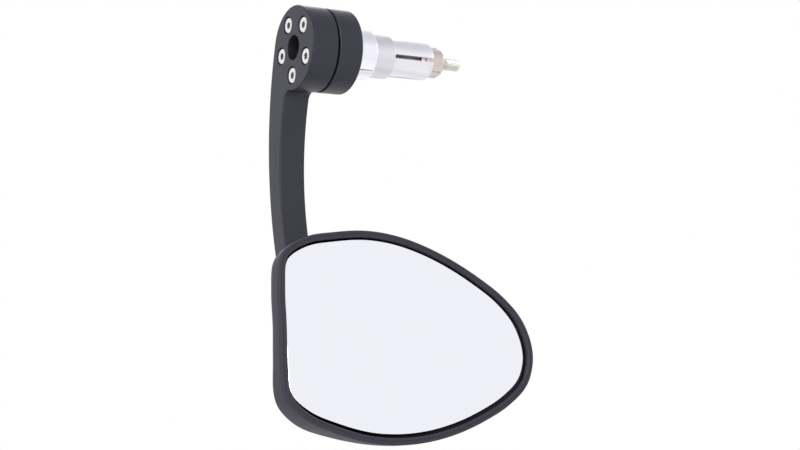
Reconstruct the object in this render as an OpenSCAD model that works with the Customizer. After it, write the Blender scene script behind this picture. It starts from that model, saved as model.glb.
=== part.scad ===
// Bar-end mirror for a motorcycle: a clamped swivel hub on an expanding bar insert,
// a flat bowed arm hanging from the hub, and a ball-jointed mirror head.
// +X runs along the handlebar, into the bar. The rider looks along +Y, so the glass faces -Y.
// The origin is on the bar's axis, at the seat where the bar's end stops.

/* [Bar insert] */
// Diameter of the slotted sleeve that goes into the bar
insert_d = 18; // [16:0.1:20]
// Length of the slotted sleeve beyond the bar's end
insert_len = 22.8; // [20:0.1:30]
// Diameter of the plain shoulder that stops against the bar's end
shoulder_d = 21; // [20.5:0.1:23]
// Length of the plain shoulder
shoulder_len = 10.3; // [8:0.1:14]
// Width of each slot that lets the sleeve spread
slot_w = 2; // [1.5:0.1:2.5]
// Bore inside the sleeve's fingers
finger_bore_d = 11.6; // [10.6:0.1:12]
// Turn of the slots about the bar's axis, from the rider's side upwards
slot_turn = -3.5; // [-20:0.5:20]
// Diameter of the cone nut where it stands out of the sleeve
nut_d = 13.7; // [13.2:0.1:14.2]
// Length of the cone nut that stands out of the sleeve
nut_out = 7.8; // [6:0.1:9]
// Length of the cone nut that is drawn into the sleeve
nut_in = 5; // [5:0.5:8]
// Height of the nut's ribs, which ride in the sleeve's slots
rib_h = 0.7; // [0.5:0.1:1]

/* [Expansion bolt] */
// Nominal diameter of the bolt
bolt_d = 6; // [6:0.5:6.5]
// Length of the bolt under its head
bolt_len = 80; // [76:1:90]
// Diameter of the bolt's cylindrical head
bolt_head_d = 10; // [9.5:0.1:10]
// Height of the bolt's head
bolt_head_h = 6; // [5:0.5:6]
// Hexagon socket of the bolt, across flats
bolt_key = 5; // [4:0.5:5]
// Diameter of the hole it passes through in the bush, the flange and the sleeve
bolt_hole_d = 6.6; // [6.6:0.1:7]

/* [Bush and flange] */
// Diameter of the polished collar beside the hub
collar_d = 24; // [23:0.5:26]
// Length of the collar
collar_len = 12.9; // [10:0.1:16]
// Diameter of the bush's neck, on which the clamp ring turns
neck_d = 15; // [13.5:0.1:15.4]
// Diameter of the flange that the hub halves grip
flange_d = 20; // [19:0.1:20]
// Thickness of the flange
flange_t = 3; // [2.5:0.5:4]
// Diameter of the register that centres the sleeve in the bush
register_d = 12; // [11:0.5:13]
// Depth of the register
register_len = 2; // [1:0.5:3]

/* [Swivel hub] */
// Diameter of the hub
hub_d = 40; // [40:0.5:42]
// Thickness of the hub half that carries the arm
hub_t = 13.5; // [13:0.5:16]
// Thickness of the clamp ring
ring_t = 12.2; // [12:0.2:14]
// Gap left between the two halves, so that the screws can clamp
groove_w = 1; // [0.6:0.1:1.4]
// Diameter of the key hole through the hub's outer face
key_hole_d = 11.8; // [10.6:0.1:12]
// Circle on which the clamp screws lie
screw_pcd = 26; // [26:0.1:27]
// Number of clamp screws
screw_n = 5; // [5]
// Turn of the screw circle about the bar's axis
screw_turn = 8.5; // [-20:0.5:20]
// Thickness of each friction washer
friction_t = 0.6; // [0.4:0.1:0.8]
// Edge break on the hub's rims
rim_break = 0.4; // [0.2:0.1:0.6]

/* [Clamp screws] */
// Nominal diameter of a clamp screw
screw_d = 4; // [3.5:0.1:4]
// Diameter of its low head
screw_head_d = 7.5; // [7:0.1:7.6]
// Height of its low head
screw_head_h = 2.8; // [2.4:0.1:3]
// Hexagon socket, across flats
screw_key = 3; // [2.5:0.5:3]
// Depth of the counterbore that holds the head
counterbore_h = 3.2; // [3:0.1:3.6]
// How much wider the counterbore is than the head
counterbore_gap = 0.9; // [0.6:0.1:1]
// Length of the screw under its head
screw_len = 18; // [14:1:20]

/* [Arm] */
// Thickness of the arm along the bar's axis
arm_t = 13.2; // [11:0.1:13.3]
// Radius of the arm's forward edge
front_r = 185; // [175:1:195]
// Height at which the forward edge bows out furthest
front_z = -43; // [-46:1:-40]
// Radius of the arm's rider-side edge
rear_r = 125; // [118:1:130]
// Height at which the rider-side edge is furthest from the rider
rear_z = -55; // [-58:1:-52]
// Width of the arm at that height
arm_w = 11.9; // [10:0.1:13]
// Fillet between the rider-side edge and the hub
root_r = 4.5; // [3:0.5:6]
// Angle of the ball stud below the horizontal
stud_angle = 28.1; // [26:0.1:30]

/* [Ball stud] */
// Diameter of the ball
ball_d = 12; // [11.6:0.1:12.4]
// Distance from the arm's face to the ball's centre
ball_reach = 12.5; // [12:0.5:15]
// Diameter of the neck behind the ball
stud_neck_d = 6; // [5.4:0.1:6]
// Diameter of the stud's flange
stud_flange_d = 11; // [10:0.5:12]
// Thickness of the stud's flange
stud_flange_t = 2; // [1.5:0.5:2.5]
// Diameter of the stud's threaded end
stud_d = 6; // [5:0.5:6]
// Nut on the stud, across flats
stud_nut_af = 10; // [9:0.5:10]
// Height of the nut on the stud
stud_nut_h = 5; // [4:0.5:6]
// Diameter of the washer under that nut
stud_washer_d = 11.6; // [11:0.1:11.6]
// Thickness of the washer under that nut
stud_washer_t = 1.6; // [1:0.2:2]

/* [Ball socket] */
// Wall of the two seat rings round the ball
seat_t = 1.85; // [1.6:0.05:2]
// Outside diameter of the socket body where it fills the housing's hole
socket_d = 21.8; // [21.6:0.1:22.6]
// Width of the flange that the socket body and the cap have round them
socket_lip = 4.1; // [3.8:0.1:4.2]
// Thickness of the socket body's flange
socket_flange_t = 2.5; // [2:0.1:3]
// Height of the socket body behind the ball's centre
socket_back = 5.5; // [5:0.1:5.5]
// Height of the cap in front of the ball's centre
cap_front = 8.2; // [8.1:0.1:8.5]
// Half angle of the mouth that the stud's neck swings in
mouth_angle = 53; // [50:1:54]
// Diameter of a socket screw
socket_screw_d = 2.5; // [2:0.1:2.5]
// Diameter of a socket screw's head
socket_head_d = 4; // [3.6:0.1:4]
// Height of a socket screw's head
socket_head_h = 1.6; // [1.4:0.1:1.8]
// Hexagon socket of a socket screw, across flats
socket_key = 1.5; // [1.3:0.1:2]
// Tilt of the head about the bar's direction, glass upwards
head_tilt = 12; // [8:1:14]

/* [Mirror head] */
// Distance from the ball's centre to the front of the rim
rim_front = 14.4; // [14.4:0.1:15.5]
// Width of the rim's lip
lip_w = 3.2; // [3:0.1:3.6]
// Thickness of the lip, front to back
lip_t = 2.2; // [1.8:0.1:2.6]
// Depth of the rounding on the lip's outer edge
lip_round = 1.2; // [0.8:0.1:1.6]
// Depth of the side wall where it is least
wall_min = 4.5; // [4.5:0.1:5]
// What the side wall gains beside the arm
wall_side = 0.5; // [0:0.1:3]
// What the side wall gains at the lower corner
wall_corner = 8.5; // [5:0.5:9]
// How far behind the ball's centre the back of the housing lies
back_y = 4.2; // [4:0.1:4.6]
// Thickness of the housing's back
shell_t = 2.2; // [2:0.1:2.4]
// Thickness of the side wall behind the lip
wall_t = 2.3; // [2:0.1:2.6]
// Face inside the back that the socket is screwed to, behind the ball's centre
seat_y = 0.3; // [0:0.1:0.5]

/* [Glass] */
// Gap between the lip and the glass
glass_gap = 1.3; // [1:0.1:1.6]
// Thickness of the glass
glass_t = 2.2; // [2:0.1:2.4]
// Radius of the convex glass
glass_r = 1600; // [1400:50:2000]
// Depth of the glass's crown below the rim
glass_sink = 1.2; // [0.8:0.1:1.3]
// How far the glass sits above the middle of the lip
glass_up = 0.5; // [0:0.1:0.6]
// Thickness of the plate behind the glass
carrier_t = 1.2; // [1:0.1:1.3]
// Thickness of the bond between glass and plate
bond_t = 0.1; // [0.05:0.05:0.2]
// Thickness of the pad between plate and socket
pad_t = 0.4; // [0.3:0.1:0.4]
// How much further in than the glass the plate ends
carrier_in = 2; // [1.5:0.1:3]

/* [Fits] */
// Running clearance on a radius or a thrust face
run_gap = 0.05; // [0.03:0.01:0.08]
// Clearance round a screw in its hole
screw_gap = 0.1; // [0.05:0.01:0.2]

/* [Hidden] */
$fn = 96;
hair = 0.01;
far = 400;

// Stations along the bar's axis
collar_x = -shoulder_len - collar_len;
ring_x = collar_x - 0.1 - ring_t;
hub_in_x = ring_x - groove_w;
hub_x = hub_in_x - hub_t;
flange_x = hub_in_x - flange_t / 2 + groove_w / 2;
flange_end_x = flange_x + flange_t;
nut_end_x = insert_len + nut_out;
pocket_gap = 0.2;
pocket_d = flange_d + pocket_gap;

// The arm's two edges are arcs; the forward one runs into the hub without a corner
hub_r = hub_d / 2;
front_c = [-sqrt(pow(front_r - hub_r, 2) - front_z * front_z), front_z];
front_at_rear_z = front_c[0] + sqrt(front_r * front_r - pow(rear_z - front_z, 2));
rear_c = [front_at_rear_z - arm_w - rear_r, rear_z];
arm_mid_x = hub_x + arm_t / 2;

// The stud stands square to the rider-side edge
stud_dir = [cos(stud_angle), -sin(stud_angle)];
edge_span = edge_reach(rear_c, stud_dir, front_c, front_r) - rear_r;
ball_c = rear_c + (rear_r - ball_reach) * stud_dir;
spot = 0.2;
socket_flange_d = socket_d + 2 * socket_lip;
stud_seat_z = ball_reach + edge_span - spot;
ball_r = ball_d / 2;
seat_in_r = ball_r + run_gap;
seat_out_r = ball_r + seat_t;
cup_r = seat_out_r + run_gap;

// The head's outline, seen by the rider from the ball's centre: x to the right, z up
outline = [[-28.6, -24.3], [-27.6, -7.2], [-24.5, 7.4], [-11, 15.9], [3.1, 18.4], [20.6, 19.6],
    [36.2, 17.7], [51.5, 13.1], [66.4, 6.4], [80, -1.6], [93.1, -11.2], [102.9, -23], [106.7, -39.5],
    [101.5, -53.8], [89.1, -63.8], [75.4, -70.3], [59.3, -75.8], [43.4, -79], [28.1, -79.9], [11.6, -78.3],
    [-5.6, -73.2], [-18.6, -67.4], [-28.5, -57.8], [-29.6, -40.2]];
outline_steps = 4;
head_mid = [40, -30];
head_half = 90;
side_x = [12, -12];
corner = [-17, -69];
corner_reach = 25;
draft = 0.3;

// Distance from p along direction d to the far side of a circle
function edge_reach(p, d, c, r) =
    let (m = (p - c) * d) -m + sqrt(m * m - (p - c) * (p - c) + r * r);

// Point where two circles meet, on the left of the line from the first centre to the second
function circles_meet(c0, r0, c1, r1) =
    let (v = c1 - c0, s = norm(v), a = (r0 * r0 - r1 * r1 + s * s) / (2 * s), h = sqrt(r0 * r0 - a * a))
    c0 + a * v / s + h * [-v[1], v[0]] / s;

// Closed smooth curve through points: a Hermite curve whose tangents weigh each side by its length
function at(points, i) = points[(i + len(points)) % len(points)];
function tangent(points, i) =
    let (a = at(points, i) - at(points, i - 1), b = at(points, i + 1) - at(points, i))
    (b * norm(a) / norm(b) + a * norm(b) / norm(a)) / (norm(a) + norm(b));
function hermite(p0, p1, m0, m1, t) =
    (2 * t * t * t - 3 * t * t + 1) * p0 + (t * t * t - 2 * t * t + t) * m0
    + (3 * t * t - 2 * t * t * t) * p1 + (t * t * t - t * t) * m1;
function smooth_closed(points, steps) = [
    for (i = [0:len(points) - 1], k = [0:steps - 1])
        let (p0 = at(points, i), p1 = at(points, i + 1), span = norm(p1 - p0))
        hermite(p0, p1, span * tangent(points, i), span * tangent(points, i + 1), k / steps)
];

// The same curve moved inwards by a distance along its own normals
function moved_in(curve, d) = [
    for (i = [0:len(curve) - 1])
        let (t = at(curve, i + 1) - at(curve, i - 1)) curve[i] + d * [t[1], -t[0]] / norm(t)
];

rim = smooth_closed(outline, outline_steps);
ring_n = len(rim);

// Places a part in the head's own frame: origin at the ball's centre, glass facing -Y
module in_head() {
    translate([arm_mid_x, ball_c[0], ball_c[1]]) rotate([-head_tilt, 0, 0]) children();
}

// Places a part on the stud's axis: origin at the ball's centre, +Z towards the arm
module on_stud() {
    translate([arm_mid_x, ball_c[0], ball_c[1]]) rotate([-90 - stud_angle, 0, 0]) children();
}

// A turned part on the bar's axis, from [radius, x] points
module turned(points) {
    rotate([0, 90, 0]) rotate_extrude() polygon(points);
}

// A round bar or hole on the bar's axis
module round_x(x0, x1, d) {
    translate([x0, 0, 0]) rotate([0, 90, 0]) cylinder(d = d, h = x1 - x0);
}

// A flat plate cut from a [y, z] outline, from x0 for a thickness t
module plate(x0, t) {
    translate([x0, 0, 0]) rotate([90, 0, 90]) linear_extrude(t) children();
}

// A hexagonal prism on +Z, from its width across flats
module hexagon(af, h) {
    cylinder(d = af / cos(30), h = h, $fn = 6);
}

// Copies children round the bar's axis at the clamp screws
module at_screw(i) {
    rotate([screw_turn + 360 / screw_n * i, 0, 0]) translate([0, 0, -screw_pcd / 2]) children();
}

// Fingers, bore, cone seat and slots of the sleeve that spreads inside the bar
module expansion_sleeve() {
    r = insert_d / 2;
    seat_len = nut_in - 1;
    seat_r = nut_d / 2 + run_gap;
    color("gainsboro") difference() {
        turned([[bolt_hole_d / 2, -shoulder_len - register_len + 0.1],
            [register_d / 2, -shoulder_len - register_len + 0.1], [register_d / 2, -shoulder_len],
            [shoulder_d / 2, -shoulder_len], [shoulder_d / 2, -0.5], [shoulder_d / 2 - 0.5, 0], [r, 0],
            [r, insert_len - 0.6], [r - 0.6, insert_len],
            [seat_r, insert_len], [finger_bore_d / 2, insert_len - seat_len],
            [finger_bore_d / 2, 2], [bolt_hole_d / 2, 2]]);
        for (a = [0, 90]) rotate([-slot_turn + a, 0, 0])
            translate([0, -insert_d, -slot_w / 2]) cube([insert_len + 1, 2 * insert_d, slot_w]);
    }
}

// Nut with a cone that spreads the fingers and ribs that keep it from turning
module cone_nut() {
    r = nut_d / 2;
    cone_r = finger_bore_d / 2 - run_gap;
    rib_root = 1;
    start_x = insert_len - nut_in;
    color("rosybrown") difference() {
        union() {
            turned([[bolt_d / 2 + run_gap, start_x], [cone_r - 0.5, start_x], [cone_r, start_x + 0.5],
                [cone_r, start_x + 1], [r, insert_len],
                [r, nut_end_x - 1.2], [r - 0.35, nut_end_x - 0.35], [r - 1.2, nut_end_x],
                [bolt_d / 2 + run_gap, nut_end_x]]);
            for (a = [0:90:270]) rotate([-slot_turn + a, 0, 0])
                translate([start_x + 1.5, cone_r - rib_root, -slot_w / 2 + run_gap])
                    cube([nut_in + nut_out - 3, r + rib_h - cone_r + rib_root, slot_w - 2 * run_gap]);
        }
        for (a = [45:90:315]) rotate([-slot_turn + a, 0, 0])
            translate([insert_len + 0.8, r - 0.5, -0.4]) cube([nut_out - 2.4, 2, 0.8]);
    }
}

// Cap screw that draws the cone nut into the sleeve
module expansion_bolt() {
    head_x = flange_x - run_gap;
    tip_x = head_x + bolt_len;
    color("dimgray") difference() {
        turned([[0, head_x - bolt_head_h], [bolt_head_d / 2 - 0.5, head_x - bolt_head_h],
            [bolt_head_d / 2, head_x - bolt_head_h + 0.5], [bolt_head_d / 2, head_x], [bolt_d / 2, head_x],
            [bolt_d / 2, tip_x - 0.7], [bolt_d / 2 - 0.7, tip_x], [0, tip_x]]);
        translate([head_x - bolt_head_h - hair, 0, 0]) rotate([0, 90, 0]) hexagon(bolt_key, bolt_head_h / 2);
    }
}

// Collar and neck: the ring turns on the neck
module bar_bush() {
    color("whitesmoke") turned([[bolt_hole_d / 2, flange_end_x], [neck_d / 2, flange_end_x],
        [neck_d / 2, collar_x], [collar_d / 2 - 0.3, collar_x], [collar_d / 2, collar_x + 0.3],
        [collar_d / 2, -shoulder_len - 1.2], [collar_d / 2 - 1.2, -shoulder_len],
        [register_d / 2 + run_gap, -shoulder_len], [register_d / 2 + run_gap, -shoulder_len - register_len],
        [bolt_hole_d / 2, -shoulder_len - register_len]]);
}

// Flange gripped between the hub halves, held on the bush by the bolt
module swivel_flange() {
    color("silver") turned([[bolt_hole_d / 2, flange_x], [flange_d / 2, flange_x],
        [flange_d / 2, flange_end_x], [bolt_hole_d / 2, flange_end_x]]);
}

// Washer on each side of the flange, from its near face and the diameter it clears
module friction_washer(x, d) {
    color("darkgoldenrod") difference() {
        round_x(x, x + friction_t - run_gap, pocket_d - pocket_gap);
        round_x(x - 1, x + friction_t + 1, d + 2 * pocket_gap);
    }
}

// Outline of the arm: hub, two arcs, a round end, and a fillet at the root
module arm_outline() {
    end_c = rear_c + (rear_r + edge_span / 2) * stud_dir;
    root_c = circles_meet([0, 0], hub_r + root_r, rear_c, rear_r - root_r);
    on_hub = root_c * hub_r / norm(root_c);
    on_edge = rear_c + (root_c - rear_c) * rear_r / norm(root_c - rear_c);
    leave = atan2(-front_c[1], -front_c[0]);
    on_rim = (hub_r - hair) * [cos(leave), sin(leave)];
    on_front = front_c + front_r * [cos(leave - 1.5), sin(leave - 1.5)];
    circle(r = hub_r);
    intersection() {
        translate(front_c) circle(r = front_r, $fn = 720);
        difference() {
            union() {
                polygon([[0, 0], on_rim, on_rim + 20 * (on_front - on_rim), rear_c + far * stud_dir,
                    rear_c]);
                translate(end_c) circle(d = edge_span + 4);
            }
            translate(rear_c) circle(r = rear_r, $fn = 720);
        }
    }
    difference() {
        polygon([on_hub, root_c, on_edge, on_edge + [hub_r / 4, 0], [hub_r / 4, -hub_r / 2]]);
        translate(root_c) circle(r = root_r + hair);
    }
}

// The hub half and the arm are cut from one plate
module arm() {
    color("dimgray") difference() {
        union() {
            plate(hub_x, arm_t) arm_outline();
            round_x(hub_x + arm_t / 2, hub_in_x, hub_d - 2 * rim_break);
        }
        round_x(hub_x - 1, hub_in_x + 1, key_hole_d);
        round_x(flange_x - friction_t, hub_in_x + 1, pocket_d);
        for (i = [0:screw_n - 1]) at_screw(i) {
            round_x(hub_x - 1, hub_x + counterbore_h, screw_head_d + counterbore_gap);
            round_x(hub_x - 1, hub_in_x + 1, screw_d + 2 * screw_gap);
        }
        on_stud() {
            translate([0, 0, ball_reach - 2]) cylinder(d = stud_d + 2 * run_gap, h = edge_span + 4);
            translate([0, 0, ball_reach - 2]) cylinder(d = stud_flange_d + 0.4, h = 2 + spot);
            translate([0, 0, stud_seat_z]) cylinder(d = stud_washer_d + 0.4, h = 4);
        }
    }
}

// Ring that the clamp screws pull towards the hub
module clamp_ring() {
    bore_r = neck_d / 2 + run_gap;
    ring_break = 1;
    color("dimgray") difference() {
        turned([[bore_r, ring_x], [hub_r - rim_break, ring_x], [hub_r, ring_x + rim_break],
            [hub_r, ring_x + ring_t - ring_break], [hub_r - ring_break, ring_x + ring_t],
            [bore_r, ring_x + ring_t]]);
        round_x(ring_x - 1, flange_end_x + friction_t, pocket_d);
        for (i = [0:screw_n - 1]) at_screw(i)
            round_x(ring_x - 1, hub_x + counterbore_h + screw_len + 0.6, screw_d + 2 * run_gap);
    }
}

// Low-head screw with a hexagon socket
module clamp_screw(i) {
    seat_x = hub_x + counterbore_h;
    head_break = 0.5;
    color("silver") at_screw(i) difference() {
        turned([[0, seat_x - screw_head_h], [screw_head_d / 2 - head_break, seat_x - screw_head_h],
            [screw_head_d / 2, seat_x - screw_head_h + head_break], [screw_head_d / 2, seat_x],
            [screw_d / 2, seat_x],
            [screw_d / 2, seat_x + screw_len - 0.4], [screw_d / 2 - 0.4, seat_x + screw_len],
            [0, seat_x + screw_len]]);
        translate([seat_x - screw_head_h - hair, 0, 0]) rotate([0, 90, 0])
            hexagon(screw_key, screw_head_h * 0.6);
    }
}

// Ball, neck, flange and threaded end, turned in one piece
module ball_stud() {
    neck_z = sqrt(ball_r * ball_r - pow(stud_neck_d / 2, 2));
    flange_z = ball_reach + spot - stud_flange_t;
    end_z = stud_seat_z + stud_washer_t + stud_nut_h + 1.5;
    color("silver") on_stud() union() {
        sphere(r = ball_r);
        rotate_extrude() polygon([[0, 0], [stud_neck_d / 2, neck_z - 1], [stud_neck_d / 2, flange_z],
            [stud_flange_d / 2 - 0.3, flange_z], [stud_flange_d / 2, flange_z + 0.3],
            [stud_flange_d / 2, flange_z + stud_flange_t], [stud_d / 2, flange_z + stud_flange_t],
            [stud_d / 2, end_z - 0.6], [stud_d / 2 - 0.6, end_z], [0, end_z]]);
    }
}

module stud_washer() {
    color("silver") on_stud() translate([0, 0, stud_seat_z]) difference() {
        cylinder(d = stud_washer_d, h = stud_washer_t);
        translate([0, 0, -1]) cylinder(d = stud_d + 4 * screw_gap, h = stud_washer_t + 2);
    }
}

module stud_nut() {
    color("silver") on_stud() translate([0, 0, stud_seat_z + stud_washer_t]) difference() {
        hexagon(stud_nut_af, stud_nut_h);
        translate([0, 0, -1]) cylinder(d = stud_d + 2 * run_gap, h = stud_nut_h + 2);
    }
}

// Ring with spherical faces inside and out, between two angles from +Z
module seat_ring(a0, a1) {
    rotate_extrude() intersection() {
        difference() {
            circle(r = seat_out_r);
            circle(r = seat_in_r);
        }
        polygon([[0, 0], far * [sin(a0), cos(a0)], far * [sin((a0 + a1) / 2), cos((a0 + a1) / 2)] * 2,
            far * [sin(a1), cos(a1)]]);
    }
}

// Seat behind the ball, on the stud's axis
module rear_seat() {
    color("ivory") on_stud() seat_ring(36, 78);
}

// Seat in front of the ball, on the head's axis
module front_seat() {
    color("ivory") in_head() rotate([90, 0, 0]) seat_ring(30, 70);
}

// Copies children to a socket screw's place in the head
module at_socket_screw(i) {
    rotate([0, 120 * i + 30, 0]) translate([(socket_d + socket_lip) / 2, 0, 0]) children();
}

// A round bar or hole along the head's own Y
module round_y(y0, y1, d) {
    translate([0, y0, 0]) rotate([-90, 0, 0]) cylinder(d = d, h = y1 - y0);
}

// Socket half behind the ball, screwed into the housing's hole
module socket_body() {
    front = seat_y - socket_flange_t;
    mouth = 4 * socket_back;
    color("dimgray") in_head() difference() {
        rotate([-90, 0, 0]) rotate_extrude() difference() {
            polygon([[0, front], [socket_flange_d / 2, front], [socket_flange_d / 2, seat_y],
                [socket_d / 2, seat_y], [socket_d / 2, socket_back], [0, socket_back]]);
            circle(r = cup_r);
            polygon([[0, 0], [mouth * tan(mouth_angle), mouth], [0, mouth]]);
        }
        for (i = [0:2]) at_socket_screw(i) round_y(-far, far, socket_screw_d + 2 * screw_gap);
    }
}

// Socket half in front of the ball
module socket_cap() {
    back = seat_y - socket_flange_t;
    color("dimgray") in_head() difference() {
        union() {
            round_y(-cap_front, back, socket_d - 1);
            round_y(back - socket_flange_t, back, socket_flange_d);
        }
        sphere(r = cup_r);
        round_y(-far, 0, ball_r);
        for (i = [0:2]) at_socket_screw(i) round_y(-far, far, socket_screw_d + 2 * screw_gap);
    }
}

// Pan-head screw through the cap and the socket body into the housing
module socket_screw(i) {
    head_y = seat_y - 2 * socket_flange_t;
    top_y = head_y - socket_head_h;
    tip_y = back_y - 1.2;
    head_break = 0.4;
    color("silver") in_head() at_socket_screw(i) rotate([-90, 0, 0]) difference() {
        rotate_extrude() polygon([[0, top_y], [socket_head_d / 2 - head_break, top_y],
            [socket_head_d / 2, top_y + head_break], [socket_head_d / 2, head_y],
            [socket_screw_d / 2, head_y], [socket_screw_d / 2, tip_y], [0, tip_y]]);
        translate([0, 0, top_y - hair]) hexagon(socket_key, socket_head_h / 2);
    }
}

// Depth of the side wall at a point of the outline
function ease(t) = let (u = min(1, max(0, t))) u * u * (3 - 2 * u);
function wall_depth(p) = wall_min + wall_side * ease((side_x[0] - p[0]) / (side_x[0] - side_x[1]))
    + wall_corner * exp(-pow(norm(p - corner) / corner_reach, 2));

// A point between the outline and a circle round the socket's hole, seen from the ball's centre
function towards_hole(p, r, s) = p * (1 - s) + s * r * p / norm(p);

// Height of the back: a quarter ellipse that leaves the wall square and ends level
function back_rise(s) = sqrt(1 - pow(1 - s, 2.2));

// Rings of the housing's skin, each a list of [x, y, z]: out over the lip, back along
// the wall, over the back to the socket's hole, and home again inside
function ring_at(curve, y) = [for (p = curve) [p[0], y, p[1]]];
function back_ring(s) = [
    for (i = [0:ring_n - 1])
        let (w = drafted[i], y0 = wall_depth(rim[i]) - rim_front, q = towards_hole(w, hole_rim_r, s))
        [q[0], y0 + (back_y - y0) * back_rise(s), q[1]]
];
function inner_ring(s) = [
    for (i = [0:ring_n - 1])
        let (w = behind_lip[i], y0 = wall_depth(rim[i]) - rim_front, q = towards_hole(w, seat_rim_r, s),
            outer_s = norm(rim[i] - q) / norm(rim[i] - towards_hole(rim[i], hole_rim_r, 1)),
            top = y0 + (back_y - y0) * back_rise(min(1, outer_s)))
        [q[0], s == 1 ? seat_y : min(seat_y, top - shell_t), q[1]]
];
function hole_ring(r, y) = [for (p = rim) [r * p[0] / norm(p), y, r * p[1] / norm(p)]];
lip_edge = moved_in(rim, lip_w);
behind_lip = moved_in(rim, wall_t);
drafted = moved_in(rim, draft);
hole_r = socket_d / 2 + 0.1;
hole_rim_r = hole_r + 1;
seat_rim_r = socket_flange_d / 2 + 0.6;
glass_in = lip_w + glass_gap;
glass_y = glass_sink - rim_front;

module mirror_housing() {
    front_y = -rim_front;
    rings = concat(
        [ring_at(lip_edge, front_y + lip_t), ring_at(lip_edge, front_y + 0.5),
            ring_at(moved_in(rim, lip_w - 0.5), front_y), ring_at(moved_in(rim, lip_round), front_y),
            ring_at(moved_in(rim, 0.3 * lip_round), front_y + 0.3 * lip_round),
            ring_at(rim, front_y + lip_round)],
        [for (s = [0, 0.01, 0.03, 0.07, 0.14, 0.25, 0.4, 0.6, 0.8, 1]) back_ring(s)],
        [hole_ring(hole_r, back_y - 0.4), hole_ring(hole_r, seat_y)],
        [for (s = [1, 0.75, 0.5, 0.3, 0.15, 0.06, 0]) inner_ring(s)],
        [ring_at(behind_lip, front_y + lip_t + 0.6)]
    );
    m = len(rings);
    points = [for (ring = rings, p = ring) p];
    faces = [
        for (k = [0:m - 1], i = [0:ring_n - 1])
            let (a = k * ring_n + i, b = k * ring_n + (i + 1) % ring_n,
                c = ((k + 1) % m) * ring_n + (i + 1) % ring_n, d = ((k + 1) % m) * ring_n + i)
            each [[a, b, c], [a, c, d]]
    ];
    color("darkslategray") in_head() difference() {
        polyhedron(points, faces);
        for (i = [0:2]) at_socket_screw(i) round_y(-far / 10, back_y - 1, socket_screw_d + 2 * run_gap);
    }
}

// Plate with a convex face, cut to a curve: the face's crown lies at y, and the plate is t thick
module convex_plate(curve, y, t) {
    intersection() {
        translate([head_mid[0], y + glass_r, head_mid[1]]) rotate([90, 0, 0]) rotate_extrude()
            intersection() {
                difference() {
                    circle(r = glass_r, $fn = 1440);
                    circle(r = glass_r - t, $fn = 1440);
                }
                translate([0, glass_r - head_half / 2]) square([head_half, head_half]);
            }
        rotate([90, 0, 0]) linear_extrude(head_half, center = true)
            translate([0, glass_up]) polygon(curve);
    }
}

module mirror_glass() {
    color("lavender") in_head()
        convex_plate(moved_in(rim, glass_in), glass_y, glass_t);
}

module glass_carrier() {
    color("black") in_head()
        convex_plate(moved_in(rim, glass_in + carrier_in), glass_y + glass_t + bond_t, carrier_t);
}

// Foam pad that presses the plate on to the socket's cap
module carrier_pad() {
    color("black") in_head() difference() {
        round_y(-cap_front - pad_t, -cap_front, socket_d - 3);
        round_y(-far, 0, ball_d);
    }
}

expansion_sleeve();
bar_bush();
swivel_flange();
expansion_bolt();
cone_nut();
arm();
clamp_ring();
clamp_screw(0);  // clamp_screw_1
clamp_screw(1);  // clamp_screw_2
clamp_screw(2);  // clamp_screw_3
clamp_screw(3);  // clamp_screw_4
clamp_screw(4);  // clamp_screw_5
friction_washer(flange_x - friction_t, key_hole_d);  // friction_washer_outer
friction_washer(flange_end_x + run_gap, neck_d);  // friction_washer_inner
ball_stud();
stud_washer();
stud_nut();
rear_seat();
front_seat();
mirror_housing();
socket_body();
socket_cap();
socket_screw(0);  // socket_screw_1
socket_screw(1);  // socket_screw_2
socket_screw(2);  // socket_screw_3
carrier_pad();
glass_carrier();
mirror_glass();
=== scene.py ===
import math
import bmesh
import bpy
import numpy as np
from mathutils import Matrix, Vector
from mathutils.geometry import tessellate_polygon


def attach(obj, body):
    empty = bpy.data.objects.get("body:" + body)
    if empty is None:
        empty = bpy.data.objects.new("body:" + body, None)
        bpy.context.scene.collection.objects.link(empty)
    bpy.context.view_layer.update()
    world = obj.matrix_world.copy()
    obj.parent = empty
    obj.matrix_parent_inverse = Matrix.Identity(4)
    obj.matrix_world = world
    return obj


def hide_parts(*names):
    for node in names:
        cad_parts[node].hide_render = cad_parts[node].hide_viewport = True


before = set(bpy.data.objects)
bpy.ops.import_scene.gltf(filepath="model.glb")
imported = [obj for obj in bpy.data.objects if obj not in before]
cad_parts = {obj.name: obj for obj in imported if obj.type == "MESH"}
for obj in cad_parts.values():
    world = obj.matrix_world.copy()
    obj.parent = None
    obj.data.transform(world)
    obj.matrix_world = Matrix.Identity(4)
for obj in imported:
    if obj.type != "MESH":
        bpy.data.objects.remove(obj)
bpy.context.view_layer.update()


# ---- The arm: a bowed blade and a round hub half, milled from one aluminium plate, blasted and
# anodised black. Five screws through the hub clamp it at the bar's end. Sizes are in millimetres:
# x runs along the bar towards the insert, and outlines are drawn in the disc's plane as [y, z].
MM = 0.001
ARM_X, ARM_THICK = -50.0, 13.2
BOSS_X, BOSS_R = -36.5, 19.6  # the face at the groove, a little proud of the plate
POCKET_X, POCKET_R = -38.1, 10.1  # the pocket for the hidden swivel flange
HUB_R, FRONT_R, REAR_R = 19.99, 184.98, 125.0  # the hub, and the blade's front and rear edges
FRONT_C, REAR_C = np.array([-159.298, -43.0]), np.array([-111.588, -55.0])
BLADE_W, ROOT_R = 11.9, 4.5  # the blade's width at its end, and the fillet below the hub
STUD_ANGLE = math.radians(28.1)  # how far round the rear edge's circle the ball stud goes through
STUD_DIR = np.array([math.cos(STUD_ANGLE), -math.sin(STUD_ANGLE)])
KEY_HOLE_R, SINK_R, SINK_DEEP, DRILL_R = 5.9, 4.2, 3.2, 2.1
SCREW_COUNT, SCREW_CIRCLE, SCREW_TURN = 5, 13.0, 8.5  # the turn is in degrees
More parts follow.
